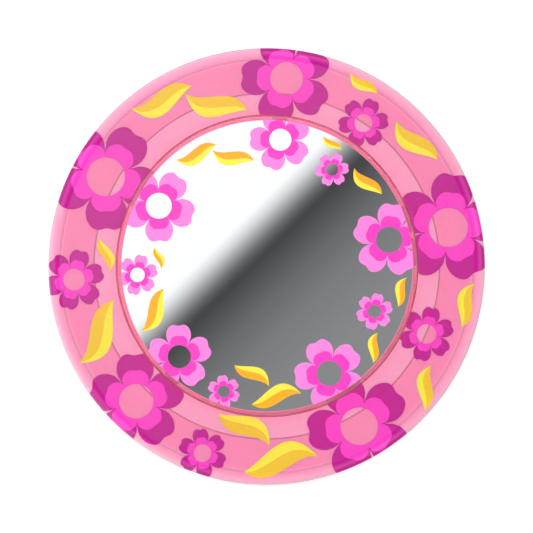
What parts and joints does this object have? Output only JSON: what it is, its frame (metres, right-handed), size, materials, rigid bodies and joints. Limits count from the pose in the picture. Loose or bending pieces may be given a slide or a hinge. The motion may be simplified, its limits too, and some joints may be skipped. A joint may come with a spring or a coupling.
{
  "type": "pocket mirror",
  "caption": "Round pocket mirror on a rubber grip that swivels and pops out in stages from a translucent round base with a ring of magnets and a soft pad.",
  "frame": {"origin": "centre of the soft pad's underside, on the surface that the object lies on", "axes": "+Z out of the mirror, square to the base; +X and +Y are in the plane of the pad, with the bayonet's lugs along X while the top is locked"},
  "size_m": [0.058, 0.058, 0.0087],
  "materials": {
    "pink_shell": "translucent moulded polycarbonate with a fine grain and a printed pattern",
    "mirror_glass": "polished silvered glass with a printed pattern",
    "accordion": "matt thermoplastic rubber",
    "swivel_ring": "moulded acetal",
    "back_plate": "moulded polycarbonate",
    "silicone_pad": "soft matt silicone",
    "tray": "moulded polycarbonate",
    "adhesive": "double-sided adhesive film",
    "magnet": "nickel-plated sintered magnet",
    "shunt": "stamped steel"
  },
  "bodies": {
    "base": {"grip_pad": "silicone_pad", "pad_tape": "adhesive", "back_plate": "back_plate", "magnet_tray": "tray", "magnet_tape": "adhesive", "magnet_segments": "magnet", "shunt_ring": "shunt", "base_shell": "pink_shell"},
    "foot": {"accordion_foot": "swivel_ring", "lower_wall": "accordion", "lower_flexure": "accordion"},
    "middle": {"middle_wall": "accordion", "upper_flexure": "accordion"},
    "crown": {"upper_wall": "accordion", "crown_hub": "swivel_ring"},
    "top": {"top_shell": "pink_shell", "mirror_tape": "adhesive", "mirror_disc": "mirror_glass"}
  },
  "joints": [
    {"name": "grip_swivel", "type": "hinge", "parent": "base", "child": "foot", "pos_m": [0, 0, 0.00175], "axis": [0, 0, 1], "continuous": true},
    {"name": "lower_stage", "type": "slide", "parent": "foot", "child": "middle", "axis": [0, 0, 1], "range_m": [0, 0.0075], "deforming": ["lower_flexure"]},
    {"name": "upper_stage", "type": "slide", "parent": "middle", "child": "crown", "axis": [0, 0, 1], "range_m": [0, 0.0075], "deforming": ["upper_flexure"]},
    {"name": "top_twist", "type": "hinge", "parent": "crown", "child": "top", "pos_m": [0, 0, 0.0053], "axis": [0, 0, 1], "range_deg": [0, 90]}
  ]
}
